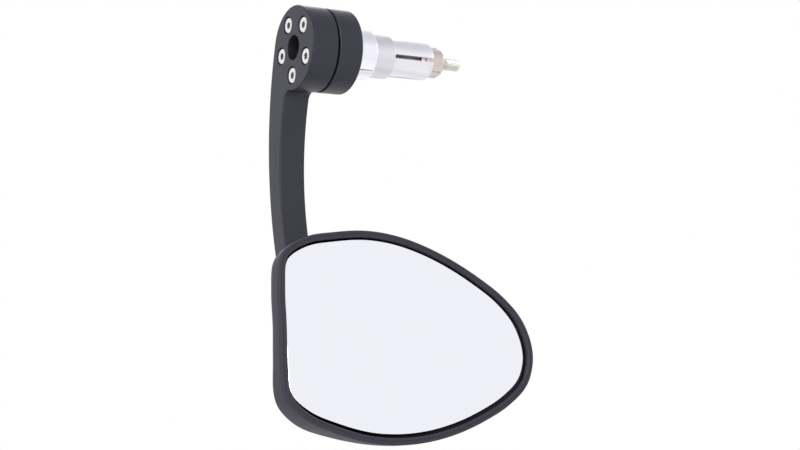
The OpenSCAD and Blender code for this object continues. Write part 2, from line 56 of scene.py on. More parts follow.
EDGE, HOLE_EDGE = 0.5, 0.2  # how far outer edges and the holes' edges are rounded
FLAT = 0.06  # a flat band beside each rounding, so that the faces shade as flat


def colour(text):
    """An sRGB hex colour made linear: c/12.92 up to 0.04045, else ((c + 0.055)/1.055)^2.4."""
    c = np.array([int(text[i:i + 2], 16) / 255 for i in (1, 3, 5)])
    return (*np.where(c <= 0.04045, c / 12.92, ((c + 0.055) / 1.055) ** 2.4), 1.0)


def node(tree, kind, links=(), **settings):
    """Adds one shader node, sets its properties or inputs, and links (source, input) pairs."""
    n = tree.nodes.new(kind)
    for key, value in settings.items():
        if hasattr(n, key):
            setattr(n, key, value)
        else:
            n.inputs[key.replace("_", " ")].default_value = value
    for source, name in links:
        tree.links.new(source, n.inputs[name])
    return n


def finish_of(name, text, metal, rough, grain_mm=0.0, grain=0.0, mottle=0.0, aniso=0.0, shine=0.5):
    """A finish of one colour. Its grain is a bump of noise, grain_mm wide and a quarter as deep.
    Its mottle moves the roughness up and down by that much over patches ten grains wide."""
    made = bpy.data.materials.new(name)
    made.use_nodes = True
    tree = made.node_tree
    surface = tree.nodes["Principled BSDF"]
    for key, value in (("Base Color", colour(text)), ("Metallic", metal), ("Roughness", rough),
                       ("Anisotropic", aniso), ("Specular IOR Level", shine)):
        surface.inputs[key].default_value = value
    if grain_mm:
        at = node(tree, "ShaderNodeTexCoord").outputs["Object"]
        fine = node(tree, "ShaderNodeTexNoise", [(at, "Vector")],
                    Scale=1 / (grain_mm * MM), Detail=2.0)
        bump = node(tree, "ShaderNodeBump", [(fine.outputs["Fac"], "Height")],
                    Strength=grain, Distance=grain_mm * MM / 4)
        tree.links.new(bump.outputs["Normal"], surface.inputs["Normal"])
    if grain_mm and mottle:
        patch = node(tree, "ShaderNodeTexNoise", [(at, "Vector")],
                     Scale=1 / (10 * grain_mm * MM), Detail=3.0)
        spread = node(tree, "ShaderNodeMapRange", [(patch.outputs["Fac"], "Value")],
                      From_Min=0.3, From_Max=0.7, To_Min=rough - mottle, To_Max=rough + mottle)
        tree.links.new(spread.outputs["Result"], surface.inputs["Roughness"])
    return made


def sheet(grid, close_u=False, close_v=False):
    """Quads over a grid of points (u, v, 3). A closed direction joins its last row to its first."""
    nu, nv = grid.shape[:2]
    u, v = np.meshgrid(np.arange(nu - (not close_u)), np.arange(nv - (not close_v)), indexing="ij")
    u1, v1 = (u + 1) % nu, (v + 1) % nv
    quads = np.stack([u * nv + v, u1 * nv + v, u1 * nv + v1, u * nv + v1], -1).reshape(-1, 4)
    return grid.reshape(-1, 3), quads.tolist()


def piece(name, shells, material, body, stands_for, place=None, crease=32):
    """One mesh from shells of (points, faces) in millimetres, set down by the 4x4 matrix place.
    Points within 0.002 mm are merged, normals are turned outwards, and an edge stays sharp where
    its faces turn by more than the crease angle."""
    points, faces = [], []
    for p, f in shells:
        faces += [[i + len(points) for i in q] for q in f]
        points += np.asarray(p, float).tolist()
    xyz = np.array(points)
    if place is not None:
        xyz = xyz @ place[:3, :3].T + place[:3, 3]
    mesh = bpy.data.meshes.new(name)
    mesh.from_pydata((xyz * MM).tolist(), [], faces)
    bm = bmesh.new()
    bm.from_mesh(mesh)
    bmesh.ops.remove_doubles(bm, verts=bm.verts, dist=2e-6)
    bmesh.ops.dissolve_degenerate(bm, edges=bm.edges, dist=1e-7)
    bmesh.ops.recalc_face_normals(bm, faces=bm.faces)
    bm.to_mesh(mesh)
    bm.free()
    mesh.shade_smooth()
    mesh.set_sharp_from_angle(angle=math.radians(crease))
    mesh.materials.append(material)
    made = bpy.data.objects.new(name, mesh)
    bpy.context.scene.collection.objects.link(made)
    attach(made, body)
    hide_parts(*stands_for)
    return made


def inlay(made, material, inside, place=None):
    """Gives a second finish to the faces whose centres, in the piece's own millimetres before its
    place, pass a test."""
    mesh = made.data
    centres = np.empty(3 * len(mesh.polygons))
    mesh.polygons.foreach_get("center", centres)
    centres = centres.reshape(-1, 3) / MM
    if place is not None:
        centres = (centres - place[:3, 3]) @ place[:3, :3]
    mesh.materials.append(material)
    mesh.polygons.foreach_set("material_index", inside(centres).astype(np.int32))


def arc(c, r, a0, a1, n):
    """Points c + r (cos a, sin a) for n angles from a0 to a1."""
    a = np.linspace(a0, a1, n)[:, None]
    return np.asarray(c) + r * np.hstack([np.cos(a), np.sin(a)])


def circle(c, r, n):
    """The n points of a whole turn, without a second first point."""
    return arc(c, r, 0, 2 * math.pi, n + 1)[:-1]


def angle_of(p, c):
    """The angle at which p is seen from c."""
    return math.atan2(p[1] - c[1], p[0] - c[0])


def meet(c0, r0, c1, r1, side):
    """Where two circles meet, on one side of the line v between their centres, s long:
    c0 + a v/s + h n/s with n square to v, a = (r0^2 - r1^2 + s^2)/2s and h^2 = r0^2 - a^2."""
    v = np.asarray(c1) - c0
    s = np.hypot(*v)
    a = (r0 * r0 - r1 * r1 + s * s) / (2 * s)
    h = math.sqrt(r0 * r0 - a * a)
    return c0 + a * v / s + side * h * np.array([-v[1], v[0]]) / s


def inset(curve, d):
    """A closed curve moved inwards by d along its normals, which are square to the chord between
    the points on either side."""
    t = np.roll(curve, -1, 0) - np.roll(curve, 1, 0)
    n = np.stack([-t[:, 1], t[:, 0]], 1) / np.hypot(*t.T)[:, None]
    x, y = curve.T
    area = np.sum(x * np.roll(y, -1) - y * np.roll(x, -1))
    return curve + d * n * np.sign(area)


def walls(curve, steps):
    """A wall of rings: for each (inset, x), the [y, z] curve moved in by the inset and set at x."""
    rings = [np.insert(inset(curve, d), 0, x, 1) for d, x in steps]
    return sheet(np.array(rings), close_v=True)


def cap(loops, x):
    """A flat face at x between an outer [y, z] loop and any inner loops, cut into triangles."""
    flat = [[Vector((p[0], p[1], 0)) for p in loop] for loop in loops]
    return np.insert(np.vstack(loops), 0, x, 1), [list(t) for t in tessellate_polygon(flat)]


def bend(x, inwards, r, n=4):
    """Steps (inset, x) round an edge: at angle a the inset is r(1 - sin a), and x is moved from
    the face by r(1 - cos a)."""
    return [(r * (1 - math.sin(a)), x + inwards * r * (1 - math.cos(a)))
            for a in np.linspace(0, math.pi / 2, n + 1)]


def screw_at(i):
    """Centre [y, z] of clamp screw i on its circle, counted from the lowest."""
    a = math.radians(SCREW_TURN + 360 / SCREW_COUNT * i)
    return SCREW_CIRCLE * np.array([math.sin(a), -math.cos(a)])


# The blade's outline: round the hub, a fillet into the rear edge, down it, round the nose that
# holds the ball stud, and back up the front edge, which leaves the hub at a tangent.
MIDDLE = np.zeros(2)
NOSE_R = BLADE_W / 2 + 2
root_c = meet(MIDDLE, HUB_R + ROOT_R, REAR_C, REAR_R - ROOT_R, 1)
nose_c = REAR_C + (REAR_R + BLADE_W / 2) * STUD_DIR
nose_in = meet(nose_c, NOSE_R, REAR_C, REAR_R, 1)
nose_out = meet(nose_c, NOSE_R, FRONT_C, FRONT_R, 1)
tangent = angle_of(MIDDLE, FRONT_C)
blade = np.vstack([
    arc(MIDDLE, HUB_R, tangent, angle_of(root_c, MIDDLE) + 2 * math.pi, 120)[:-1],
    arc(root_c, ROOT_R, angle_of(MIDDLE, root_c), angle_of(root_c, REAR_C), 16)[:-1],
    arc(REAR_C, REAR_R, angle_of(root_c, REAR_C), angle_of(nose_in, REAR_C), 60)[:-1],
    arc(nose_c, NOSE_R, angle_of(nose_in, nose_c), angle_of(nose_out, nose_c), 24)[:-1],
    arc(FRONT_C, FRONT_R, angle_of(nose_out, FRONT_C), tangent, 80)[:-1],
])
key_hole, boss = circle(MIDDLE, KEY_HOLE_R, 64), circle(MIDDLE, BOSS_R, 128)
pocket = circle(MIDDLE, POCKET_R, 96)
sinks = [circle(screw_at(i), SINK_R, 48) for i in range(SCREW_COUNT)]
drills = [circle(screw_at(i), DRILL_R, 48) for i in range(SCREW_COUNT)]

back_x, sink_x = ARM_X + ARM_THICK, ARM_X + SINK_DEEP
face_in, hole_in = EDGE + FLAT, -HOLE_EDGE - FLAT
arm_steps = [(face_in, ARM_X), *bend(ARM_X, 1, EDGE), (0, ARM_X + EDGE + FLAT),
             (0, back_x - EDGE - FLAT), *bend(back_x, -1, EDGE)[::-1], (face_in, back_x)]
hole_steps = [(hole_in, ARM_X), *[(-d, x) for d, x in bend(ARM_X, 1, HOLE_EDGE, n=3)]]
holes = [inset(hole, hole_in) for hole in (key_hole, *sinks)]
arm_shells = [
    walls(blade, arm_steps),
    cap([inset(blade, face_in), *holes], ARM_X),
    walls(key_hole, [*hole_steps, (0, POCKET_X)]),
    cap([pocket, key_hole], POCKET_X),
    walls(pocket, [(0, POCKET_X), (0, BOSS_X)]),
    cap([boss, pocket, *drills], BOSS_X),
    walls(boss, [(0, back_x), (0, BOSS_X)]),
    cap([inset(blade, face_in), boss], back_x),
]
for sink, drill in zip(sinks, drills):
    arm_shells += [walls(sink, [*hole_steps, (0, sink_x)]), cap([sink, drill], sink_x),
                   walls(drill, [(0, sink_x), (0, BOSS_X)])]

# Blasted and anodised plate: a dark grey with a soft shine. Blasting leaves a grain near 0.1 mm,
# drawn at 0.25 mm so that it shows.
black = finish_of("black_anodised_aluminium", "#33333D", 0.5, 0.42,
                  grain_mm=0.25, grain=0.12, mottle=0.03)
# Painted shade in the key hole: a near-black finish on the bore's wall that stands in for the shade
# deep in the hole.
bore = finish_of("key_hole_painted_shade", "#121214", 0.2, 0.5)
arm = piece("arm_plate", arm_shells, black, "swivel_arm", ["arm"])
# The key hole's wall takes the painted shade.
inlay(arm, bore, lambda c: (np.hypot(c[:, 1], c[:, 2]) < 6) & (c[:, 0] > ARM_X + 0.3))


# ---- The clamp ring: a turned aluminium disc on the bar side of the groove, anodised like the arm.
# The screws pull it towards the arm, and both halves grip the hidden flange.
RING_X, RING_THICK, RING_POCKET, RING_BORE_R = -35.5, 12.2, 1.6, 7.55


def softened(points, radii, closed=False, n=4, near=0.05):
    """A profile with its corners rounded: each arc starts and ends r/tan(half the corner's angle)
    from its corner, and a point just outside each end keeps the flats flat."""
    pts, out, m = [np.array(p, float) for p in points], [], len(points)
    for i in range(m):
        p, r = pts[i], radii[i] if isinstance(radii, (list, tuple)) else radii
        if r <= 0 or (not closed and i in (0, m - 1)):
            out.append(p)
            continue
        a, b = pts[i - 1] - p, pts[(i + 1) % m] - p
        la, lb = np.hypot(*a), np.hypot(*b)
        a, b = a / la, b / lb
        half = math.acos(max(-1, min(1, float(a @ b)))) / 2
        reach = min(r / math.tan(half), 0.49 * la, 0.49 * lb)
        r = reach * math.tan(half)
        centre = p + (a + b) / np.hypot(*(a + b)) * r / math.sin(half)
        u, v = p + a * reach - centre, p + b * reach - centre
        turn = math.atan2(u[0] * v[1] - u[1] * v[0], float(u @ v))
        if reach + near < 0.49 * la:
            out.append(p + a * (reach + near))
        for t in np.linspace(0, turn, n + 1):
            c, s = math.cos(t), math.sin(t)
            out.append(centre + np.array([c * u[0] - s * u[1], s * u[0] + c * u[1]]))
        if reach + near < 0.49 * lb:
            out.append(p + b * (reach + near))
    return np.array(out)


def turned(profile, n=96, closed=False, shape=None):
    """A profile of [x, r] revolved about x: (x, r cos a, r sin a). shape(x, r, a) may change the
    radius by angle."""
    a = np.arange(n) * 2 * math.pi / n
    x, r = np.asarray(profile, float).T
    r = np.repeat(r[:, None], n, 1) if shape is None else shape(x[:, None], r[:, None], a[None, :])
    grid = np.stack([np.repeat(x[:, None], n, 1), r * np.cos(a), r * np.sin(a)], -1)
    return sheet(grid, close_u=closed, close_v=True)


ring_end, ring_floor = RING_X + RING_THICK, RING_X + RING_POCKET
ring = [(RING_X, 17.0), (RING_X, HUB_R), (ring_end, HUB_R), (ring_end, RING_BORE_R),
        (ring_floor, RING_BORE_R), (ring_floor, POCKET_R), (RING_X, POCKET_R)]
ring = softened(ring, [0, 0.5, 0.9, 0.3, 0, 0.1, 0.1], closed=True, n=5)
piece("clamp_ring_disc", [turned(ring, n=160, closed=True)], black,
      "swivel_arm", ["clamp_ring"])


# ---- Five clamp screws: low cap heads with a hexagon socket, of steel with bright zinc plate.
# They sit in counterbores below the hub's face and are screwed into the clamp ring.
SCREW_HEAD_R, SCREW_HEAD_H, SCREW_R, SCREW_LEN = 3.75, 2.8, 2.0, 18.0
SOCKET_FLATS, SOCKET_DEEP, SOCKET_TIP, SOCKET_EDGE = 3.0, 1.66, 2.0, 0.16


def hexed(flats, x_from, x_to):
    """A shape for turned: where the profile lies at half the flats between two stations, the
    radius at angle a is that of a hexagon, (flats/2)/cos((a mod 60) - 30)."""
    def shape(x, r, a):
        hexagon = (flats / 2) / np.cos(np.mod(a, math.pi / 3) - math.pi / 6)
        inside = (x >= x_from) & (x <= x_to) & (np.abs(r - flats / 2) < 1e-6)
        return np.where(inside, hexagon, r + 0 * a)
    return shape


# Bright zinc plate: light, smooth steel that mirrors the lamps softly.
bright = finish_of("bright_zinc_steel", "#F0F0F0", 1.0, 0.28, grain_mm=0.3, grain=0.05)
# Painted shade inside the socket: a darker, greyer steel on its walls and floor, standing in for
# the shade deep in the hexagon.
socket_painted_shade = finish_of("socket_painted_shade_steel", "#A09E92", 1.0, 0.45)
head_x = sink_x - SCREW_HEAD_H
socket_r = SOCKET_FLATS / 2
socket_rim = socket_r / math.cos(math.pi / 6) + 0.12
screw = softened([
    (head_x + SOCKET_TIP, 0), (head_x + SOCKET_DEEP, socket_r - 0.05),
    (head_x + SOCKET_DEEP, socket_r), (head_x + SOCKET_EDGE, socket_r), (head_x, socket_rim),
    (head_x, SCREW_HEAD_R), (sink_x, SCREW_HEAD_R), (sink_x, SCREW_R),
    (sink_x + SCREW_LEN, SCREW_R), (sink_x + SCREW_LEN, 0),
], [0, 0, 0, 0, 0, 0.5, 0.1, 0, 0.4, 0], n=6)
screw_shell = turned(screw, n=72, shape=hexed(SOCKET_FLATS, head_x, sink_x))


def in_socket(c):
    """Centres inside the socket: below the face, above the seat and within 0.56 of the flats."""
    return ((np.hypot(c[:, 1], c[:, 2]) < SOCKET_FLATS * 0.56)
            & (c[:, 0] > head_x + 0.1) & (c[:, 0] < sink_x))


for i in range(SCREW_COUNT):
    place = np.eye(4)
    place[1:3, 3] = screw_at(i)
    screw_head = piece(f"clamp_screw_{i + 1}_head", [screw_shell], bright,
                       "swivel_arm", [f"clamp_screw_{i + 1}"], place)
    # The socket's walls and floor take the painted shade.
    inlay(screw_head, socket_painted_shade, in_socket, place)


# ---- The bush: a turned and polished aluminium collar beside the ring, with the neck on which the
# ring turns. The bolt clamps it between the hidden flange and the sleeve.
COLLAR_X, COLLAR_R, NECK_X, NECK_R = -23.2, 12.0, -34.5, 7.5
SHOULDER_X, REGISTER_R, REGISTER_LEN, BOLT_HOLE_R = -10.3, 6.05, 2.0, 3.3

collar = [(NECK_X, BOLT_HOLE_R), (NECK_X, NECK_R), (COLLAR_X, NECK_R), (COLLAR_X, COLLAR_R),
          (SHOULDER_X, COLLAR_R), (SHOULDER_X, REGISTER_R),
          (SHOULDER_X - REGISTER_LEN, REGISTER_R), (SHOULDER_X - REGISTER_LEN, BOLT_HOLE_R)]
collar = softened(collar, [0, 0.2, 0, 0.35, 1.3, 0, 0, 0], closed=True, n=8)
# Polished aluminium: nearly a mirror, with the faint rings that turning leaves.
polished = finish_of("polished_aluminium", "#F8F8FF", 1.0, 0.09, aniso=0.4)
piece("bush_collar", [turned(collar, n=160, closed=True)], polished,
      "insert", ["bar_bush"])


# ---- The expansion sleeve: a plain shoulder and four fingers between slots, turned from aluminium
# and left satin. The cone nut spreads the fingers inside the handlebar's tube.
SHOULDER_R, FINGER_R, FINGER_END, FINGER_BORE_R = 10.5, 9.0, 22.8, 5.8
SLOT_HALF, SLOT_TURN = 1.0, math.radians(-3.5)
CONE_X, CONE_R = 18.8, 6.9  # where the bore starts to widen, and its radius at the open end


def finger(k):
    """Finger k, a quarter of the sleeve: at each station the section runs along the outer arc and
    back along the inner arc, each cut by the slots' flat walls at the angle asin(half slot/r)."""
    stations = [(0.0, FINGER_R, FINGER_BORE_R), (0.3, FINGER_R, FINGER_BORE_R),
                (CONE_X, FINGER_R, FINGER_BORE_R), (FINGER_END - 0.6, FINGER_R, CONE_R - 0.11),
                (FINGER_END - 0.18, FINGER_R - 0.18, CONE_R - 0.03),
                (FINGER_END, FINGER_R - 0.6, CONE_R)]
    rings = []
    for x, outer_r, inner_r in stations:
        a1, a0 = math.asin(SLOT_HALF / outer_r), math.asin(SLOT_HALF / inner_r)
        outer = arc(MIDDLE, outer_r, a1, math.pi / 2 - a1, 25)
        inner = arc(MIDDLE, inner_r, math.pi / 2 - a0, a0, 25)
        rings.append(np.insert(np.vstack([outer, inner]), 0, x, 1))
    a = k * math.pi / 2 + math.pi - SLOT_TURN
    c, s = math.cos(a), math.sin(a)
    rings = np.array(rings) @ np.array([[1, 0, 0], [0, c, s], [0, -s, c]])
    n = rings.shape[1]
    strip = [[i, i + 1, n - 2 - i, n - 1 - i] for i in range(n // 2 - 1)]
    return [sheet(rings, close_v=True), (rings[0], strip), (rings[-1], strip)]


register_x = SHOULDER_X - 1.9
shoulder = [(register_x, BOLT_HOLE_R), (register_x, 6.0), (SHOULDER_X, 6.0),
            (SHOULDER_X, SHOULDER_R), (0.0, SHOULDER_R), (0.0, FINGER_R), (0.05, FINGER_R),
            (0.05, FINGER_BORE_R), (0.0, BOLT_HOLE_R)]
shoulder = softened(shoulder, [0, 0.2, 0, 0.2, 0.5, 0, 0, 0, 0], closed=True, n=5)
sleeve_shells = [turned(shoulder, n=160, closed=True), *[s for k in range(4) for s in finger(k)]]
# Satin aluminium: bright and soft, with fine turning rings round the axis.
satin = finish_of("satin_turned_aluminium", "#EEEDF3", 1.0, 0.32, aniso=0.5)
# The plain shoulder was left a shade duller than the fingers.
matt = finish_of("matt_turned_shoulder", "#DFDEE5", 1.0, 0.36, aniso=0.5)
sleeve = piece("sleeve_body", sleeve_shells, satin, "insert", ["expansion_sleeve"])
inlay(sleeve, matt, lambda c: c[:, 0] < 0.02)


# ---- The cone nut: turned and milled from steel, then nickel-plated. Its four ribs ride in the
# sleeve's slots, with a groove between each pair, and the bolt draws it in.
NUT_R, NUT_SMALL_R, NUT_HOLE_R, RIB_R, GROOVE_DEEP = 6.85, 5.75, 3.05, 7.55, 0.5
NUT_IN, NUT_END, RIB_X, GROOVE_X = 17.8, 30.6, (19.3, 29.1), (23.6, 29.0)
RIB_HALF, GROOVE_HALF, FLANK = 0.95, 0.4, 0.12


def nut_shape(x, r, a):
    """Radius by angle: r rises to the ribs' radius where they fit the slots, and falls by the
    grooves' depth between them; each side slopes over the flank's width. Bores stay round."""
    rib_at = np.mod(a + SLOT_TURN + math.pi / 4, math.pi / 2) - math.pi / 4
    groove_at = np.mod(a + SLOT_TURN, math.pi / 2) - math.pi / 4
    skin = r > 5.5
    on_rib = np.clip((RIB_HALF - np.abs(r * np.sin(rib_at))) / FLANK + 0.5, 0, 1)
    on_rib = on_rib * (skin & (x > RIB_X[0]) & (x < RIB_X[1]))
    in_groove = np.clip((GROOVE_HALF - np.abs(r * np.sin(groove_at))) / FLANK + 0.5, 0, 1)
    in_groove = in_groove * (skin & (x > GROOVE_X[0]) & (x < GROOVE_X[1]))
    return r + (RIB_R - r) * on_rib - GROOVE_DEEP * in_groove * (on_rib < 0.01)


def nut_cone(x):
    """The cone's radius: a straight line from its small end to full size at the sleeve's end."""
    return NUT_SMALL_R + (NUT_R - NUT_SMALL_R) * (x - CONE_X) / (FINGER_END - CONE_X)


def both_sides(*stations):
    """Two stations 0.05 either side of each one given, so that a rib or groove ends crisply."""
    return [x + d for x in stations for d in (-0.05, 0.05)]


nut = [(NUT_IN, NUT_HOLE_R), (NUT_IN, 5.25), (NUT_IN + 0.5, NUT_SMALL_R),
       (NUT_IN + 1.0, NUT_SMALL_R), *[(x, nut_cone(x)) for x in both_sides(RIB_X[0])],
       (FINGER_END, NUT_R),
       *[(x, NUT_R) for x in (*both_sides(GROOVE_X[0]), GROOVE_X[1] - 0.05, *both_sides(RIB_X[1]))],
       *[(NUT_END - d, NUT_R - e) for d, e in ((1.2, 0), (0.75, 0.09), (0.35, 0.35), (0.09, 0.75),
                                               (0, 1.2))],
       (NUT_END, 3.6), (NUT_END - 0.5, NUT_HOLE_R)]
# Nickel plate over a milled surface: a warm, pinkish satin metal.
nickel = finish_of("nickel_plate", "#DACDC8", 1.0, 0.27, grain_mm=0.4, grain=0.08)
piece("cone_nut_body", [turned(nut, n=360, closed=True, shape=nut_shape)], nickel,
      "nut", ["cone_nut"])


# ---- The expansion bolt: an M6 cap screw of zinc-plated steel through the whole insert. Its head
# is behind the key hole, and its rolled thread shows past the nut.
THREAD_R, THREAD_PITCH = 3.0, 1.0
BOLT_HEAD_X, BOLT_HEAD_H, BOLT_HEAD_R, BOLT_TIP = -37.55, 6.0, 5.0, 42.45
BOLT_FLATS, BOLT_SOCKET_DEEP = 5.0, 3.0


def threaded(x0, x1, r, pitch, deep=0.55):
    """A rolled thread as a profile and a shape: the radius is r - deep(1 - w), where w is a
    triangular wave of x/pitch - a/360 with flattened crests. It fades in and out at its ends."""
    def shape(x, r, a):
        w = np.mod(x / pitch - a / (2 * math.pi), 1)
        wave = np.clip(1.25 * (1 - np.abs(2 * w - 1)), 0, 1)
        fade = np.clip((x - x0) / pitch, 0, 1) * np.clip((x1 - x) / (0.7 * pitch), 0, 1)
        return np.where(r > 1, r - deep * (1 - wave) * fade, r + 0 * a)
    return [(x, r) for x in np.arange(x0, x1, pitch / 8)], shape


shank, shank_shape = threaded(-8.0, BOLT_TIP - 0.7, THREAD_R, THREAD_PITCH)
bolt_face = BOLT_HEAD_X - BOLT_HEAD_H
bolt_hexed = hexed(BOLT_FLATS, bolt_face, BOLT_HEAD_X)


def bolt_shape(x, r, a):
    """The hexagon socket in the head, and the thread along the shank."""
    return np.where(x < BOLT_HEAD_X + 1, bolt_hexed(x, r, a), shank_shape(x, r, a))


bolt_floor = BOLT_HEAD_X - BOLT_SOCKET_DEEP
bolt = [(bolt_floor, 0), (bolt_floor, BOLT_FLATS / 2), (bolt_face + 0.01, BOLT_FLATS / 2),
        (bolt_face, 3.05), (bolt_face, BOLT_HEAD_R - 0.5), (bolt_face + 0.15, BOLT_HEAD_R - 0.15),
        (bolt_face + 0.5, BOLT_HEAD_R), (BOLT_HEAD_X, BOLT_HEAD_R), (BOLT_HEAD_X, THREAD_R),
        *shank, (BOLT_TIP - 0.65, 2.95), (BOLT_TIP, 2.3), (BOLT_TIP, 0)]
# Zinc plate left as it comes from the bath: a light grey metal, duller than the clamp screws.
zinc = finish_of("zinc_plated_steel", "#E0DDD8", 1.0, 0.48)
piece("expansion_bolt_body", [turned(bolt, n=48, shape=bolt_shape)], zinc,
      "bolt", ["expansion_bolt"])


# ---- The ball stud: a ball, neck and flange turned from steel and plated. Its threaded end goes
# through the arm's nose and is held by a washer and a nut. Its own x runs out from the ball.
BALL = np.array([-43.4, -12.349, -107.989])
BALL_R, BALL_REACH, NOSE_SPAN, SPOT_FACE = 6.0, 12.5, 11.87, 0.2
WASHER_T, WASHER_R, WASHER_HOLE_R, STUD_NUT_H, STUD_NUT_FLATS = 1.6, 5.8, 3.2, 5.0, 10.0

tilt_c, tilt_s = math.cos(STUD_ANGLE), math.sin(STUD_ANGLE)
on_stud = np.eye(4)
on_stud[:3, :3] = [[0, -1, 0], [tilt_c, 0, tilt_s], [-tilt_s, 0, tilt_c]]
on_stud[:3, 3] = BALL
# Plated steel: a plain grey metal with a clear shine.
steel = finish_of("plated_stud_steel", "#B9B9BE", 1.0, 0.24, grain_mm=0.3, grain=0.05)

washer_x = BALL_REACH + NOSE_SPAN - SPOT_FACE
nut_x = washer_x + WASHER_T
stud_end = nut_x + STUD_NUT_H + 1.5
stud_thread, stud_shape = threaded(washer_x - 4, stud_end - 0.6, THREAD_R, THREAD_PITCH)
ball_arc = [(-BALL_R * math.cos(t), BALL_R * math.sin(t))
            for t in np.linspace(0, math.radians(148), 40)]
stud = [*ball_arc, (5.6, 3.0), (10.5, 3.0), (10.7, 3.2), (10.7, 5.2), (11.0, 5.5), (12.7, 5.5),
        (12.7, 3.0), *stud_thread, (stud_end, 2.3), (stud_end, 0)]
piece("ball_stud_body", [turned(stud, n=48, shape=stud_shape)], steel,
      "swivel_arm", ["ball_stud"], on_stud)

washer = [(washer_x, WASHER_HOLE_R), (washer_x, WASHER_R), (nut_x, WASHER_R),
          (nut_x, WASHER_HOLE_R)]
piece("stud_washer_disc", [turned(softened(washer, 0.2, closed=True), closed=True)], steel,
      "swivel_arm", ["stud_washer"], on_stud)


def nut_sides(x, r, a):
    """The smaller of the profile's radius and the hexagon's, which curves the chamfer's edge."""
    hexagon = STUD_NUT_FLATS / 2 / np.cos(np.mod(a, math.pi / 3) - math.pi / 6)
    return np.where(r > 4, np.minimum(r, hexagon), r + 0 * a)


nut_top = nut_x + STUD_NUT_H
hex_nut = [(nut_x, 3.05), (nut_x, 4.9), (nut_x + 0.5, 5.78), (nut_top - 0.5, 5.78),
           (nut_top, 4.9), (nut_top, 3.4), (nut_top - 0.4, 3.05)]
piece("stud_nut_hexagon", [turned(hex_nut, n=144, closed=True, shape=nut_sides)], steel,
      "swivel_arm", ["stud_nut"], on_stud)


# ---- The mirror housing: one satin black moulding, with a lip round the glass, a wall that is
# deepest at the lower corner beside the arm, and a domed back with the hole for the ball socket.
# From the ball, its own x runs across the head, y from the glass to the back, and z upwards.
OUTLINE = np.array([
    [-28.6, -24.3], [-27.6, -7.2], [-24.5, 7.4], [-11, 15.9], [3.1, 18.4], [20.6, 19.6],
    [36.2, 17.7], [51.5, 13.1], [66.4, 6.4], [80, -1.6], [93.1, -11.2], [102.9, -23],
    [106.7, -39.5], [101.5, -53.8], [89.1, -63.8], [75.4, -70.3], [59.3, -75.8], [43.4, -79],
    [28.1, -79.9], [11.6, -78.3], [-5.6, -73.2], [-18.6, -67.4], [-28.5, -57.8], [-29.6, -40.2],
])
LIP_Y, LIP_W, LIP_THICK, LIP_ROUND, LIP_EDGE, GROOVE_IN = -14.4, 3.2, 2.2, 1.2, 0.5, 1.75
WALL_MIN, WALL_SIDE, SIDE_X, SIDE_W = 4.5, 0.5, 12, 24
WALL_CORNER, CORNER, CORNER_REACH = 8.5, (-17, -69), 25
BACK_Y, SEAT_Y, SHELL, WALL, DRAFT = 4.2, 0.3, 2.2, 2.3, 0.3
HOLE_R, HOLE_RIM, SEAT_RIM = 11.0, 12.0, 15.6
RIM_IN = 0.16  # keeps the eased rim inside the solid's
HEAD_TILT = math.radians(12)
head_c, head_s = math.cos(HEAD_TILT), math.sin(HEAD_TILT)
in_head = np.eye(4)
in_head[:3, :3] = [[1, 0, 0], [0, head_c, head_s], [0, -head_s, head_c]]
in_head[:3, 3] = BALL


def smooth_closed(points, steps):
    """A closed Hermite curve through the points: each tangent is the mean of the two neighbouring
    chords' directions, each weighted by the other chord's length."""
    before, after = points - np.roll(points, 1, 0), np.roll(points, -1, 0) - points
    la, lb = np.hypot(*before.T)[:, None], np.hypot(*after.T)[:, None]
    m = (after * la / lb + before * lb / la) / (la + lb)
    t = (np.arange(steps) / steps)[None, :, None]
    p0, p1 = points[:, None], np.roll(points, -1, 0)[:, None]
    m0, m1 = (m * lb)[:, None], (np.roll(m, -1, 0) * lb)[:, None]
    curve = ((2 * t ** 3 - 3 * t ** 2 + 1) * p0 + (t ** 3 - 2 * t ** 2 + t) * m0
             + (3 * t ** 2 - 2 * t ** 3) * p1 + (t ** 3 - t ** 2) * m1)
    return curve.reshape(-1, 2)


def eased(curve, n):
    """Takes small waves out of a closed curve and keeps its corners: twice its mean less the
    mean's own mean, where a mean is weighted by a bell over 2n + 1 points."""
    bell = np.hanning(2 * n + 3)[1:-1] / np.hanning(2 * n + 3).sum()

    def mean(c):
        wide = np.vstack([c[-n:], c, c[:n]])
        return np.stack([np.convolve(wide[:, i], bell, "valid") for i in (0, 1)], 1)
    return 2 * mean(curve) - mean(mean(curve))


def wall_depth(p):
    """The least depth, plus a step u^2 (3 - 2u) towards the arm's side, where u goes from 0 to 1
    over the step's width, plus a bell exp(-(distance/reach)^2) about the lower corner."""
    u = np.clip((SIDE_X - p[:, 0]) / SIDE_W, 0, 1)
    away = np.hypot(p[:, 0] - CORNER[0], p[:, 1] - CORNER[1]) / CORNER_REACH
    return WALL_MIN + WALL_SIDE * u * u * (3 - 2 * u) + WALL_CORNER * np.exp(-away ** 2)


def rise(s):
    """The dome's height above its wall, as a share: the root of 1 - (1 - s)^2.2."""
    return np.sqrt(np.clip(1 - (1 - s) ** 2.2, 0, 1))


def to_hole(p, r, s):
    """The point a share s of the way from p to the circle of radius r round the ball."""
    return p * (1 - s) + s * r * p / np.hypot(*p.T)[:, None]


def level(p, y):
    """A ring [x, y, z] from a curve [x, z] and a depth y."""
    return np.stack([p[:, 0], np.broadcast_to(y, len(p)), p[:, 1]], 1)


rim = inset(eased(smooth_closed(OUTLINE, 16), 9), RIM_IN)
dome_y = LIP_Y + wall_depth(rim)
wall_out, wall_in = inset(rim, DRAFT), inset(rim, WALL)
# The skin's rings: the lip's inner edge, its face, its rounded outer edge, then the wall.
rings = [level(inset(rim, LIP_W), LIP_Y + LIP_EDGE)]
for t in np.linspace(0, math.pi / 2, 5):
    rings.append(level(inset(rim, LIP_W - LIP_EDGE * math.sin(t)),
                       LIP_Y + LIP_EDGE * (1 - math.sin(t)) * math.cos(t)))
